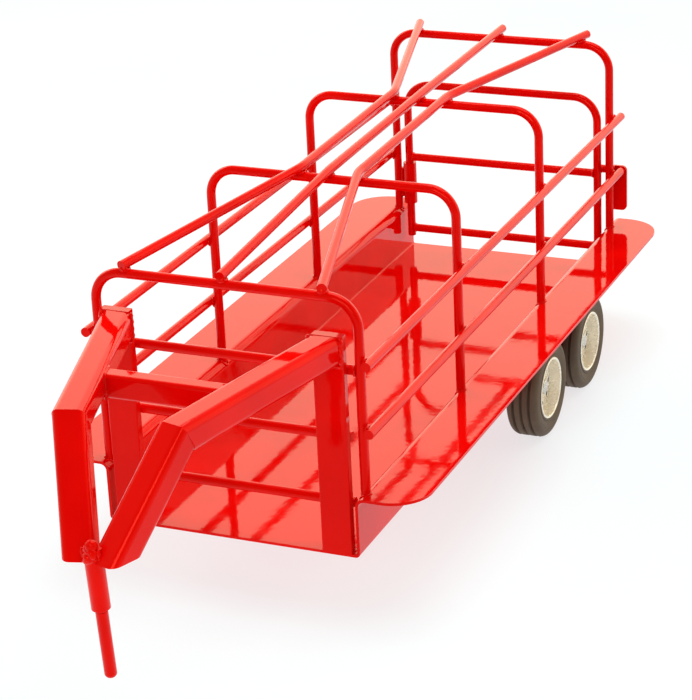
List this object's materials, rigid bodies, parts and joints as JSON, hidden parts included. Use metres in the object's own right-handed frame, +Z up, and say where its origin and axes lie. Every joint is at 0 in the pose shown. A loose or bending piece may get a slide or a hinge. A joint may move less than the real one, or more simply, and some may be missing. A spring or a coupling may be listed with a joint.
{
  "type": "gooseneck livestock trailer, toy scale",
  "caption": "Open toy livestock trailer: folded pan with rod hoops and rails, a gooseneck with a drop pin, tandem wheels and a hinged rear gate.",
  "frame": {"origin": "on the ground, midway along the overall length, on the centre line", "axes": "+Z up, -Y towards the nose and drop pin, +Y towards the gate, +X towards the trailer's own left side"},
  "size_m": [0.16, 0.446, 0.1481],
  "materials": {
    "red_gloss": "gloss",
    "tyre_rubber": "satin",
    "rim_metal": "satin",
    "bright_steel": "satin"
  },
  "bodies": {
    "trailer": {"axle_caps": "bright_steel", "axle_front": "red_gloss", "axle_rear": "red_gloss", "coupler_pin": "red_gloss", "coupler_sleeve": "red_gloss", "deck_pan": "red_gloss", "front_post_left": "red_gloss", "front_post_right": "red_gloss", "front_rod_lower": "red_gloss", "front_rod_middle": "red_gloss", "front_rod_upper": "red_gloss", "hinge_sleeve": "red_gloss", "hinge_web": "red_gloss", "hoop_1": "red_gloss", "hoop_2": "red_gloss", "hoop_3": "red_gloss", "hoop_4": "red_gloss", "neck_beam_left": "red_gloss", "neck_beam_right": "red_gloss", "neck_cross_tube": "red_gloss", "neck_leg_left": "red_gloss", "neck_leg_right": "red_gloss", "roof_rail_left": "red_gloss", "roof_rail_middle": "red_gloss", "roof_rail_right": "red_gloss", "side_rail_left_lower": "red_gloss", "side_rail_left_upper": "red_gloss", "side_rail_right_lower": "red_gloss", "side_rail_right_upper": "red_gloss"},
    "gate": {"gate_bar_lower": "red_gloss", "gate_bar_upper": "red_gloss", "gate_frame": "red_gloss", "latch_arm": "red_gloss", "latch_plate": "red_gloss"},
    "wheel_front_left": {"rim_front_left": "rim_metal", "tyre_front_left": "tyre_rubber"},
    "wheel_front_right": {"rim_front_right": "rim_metal", "tyre_front_right": "tyre_rubber"},
    "wheel_rear_left": {"rim_rear_left": "rim_metal", "tyre_rear_left": "tyre_rubber"},
    "wheel_rear_right": {"rim_rear_right": "rim_metal", "tyre_rear_right": "tyre_rubber"}
  },
  "joints": [
    {"name": "gate_hinge", "type": "hinge", "parent": "trailer", "child": "gate", "pos_m": [-0.0497, 0.2113, 0.0637], "axis": [0, 0, 1], "range_deg": [0, 95]},
    {"name": "wheel_front_left_spin", "type": "hinge", "parent": "trailer", "child": "wheel_front_left", "pos_m": [0.0643, 0.074, 0.0225], "axis": [1, 0, 0], "continuous": true},
    {"name": "wheel_front_right_spin", "type": "hinge", "parent": "trailer", "child": "wheel_front_right", "pos_m": [-0.0643, 0.074, 0.0225], "axis": [1, 0, 0], "continuous": true},
    {"name": "wheel_rear_left_spin", "type": "hinge", "parent": "trailer", "child": "wheel_rear_left", "pos_m": [0.0643, 0.131, 0.0225], "axis": [1, 0, 0], "continuous": true},
    {"name": "wheel_rear_right_spin", "type": "hinge", "parent": "trailer", "child": "wheel_rear_right", "pos_m": [-0.0643, 0.131, 0.0225], "axis": [1, 0, 0], "continuous": true}
  ]
}
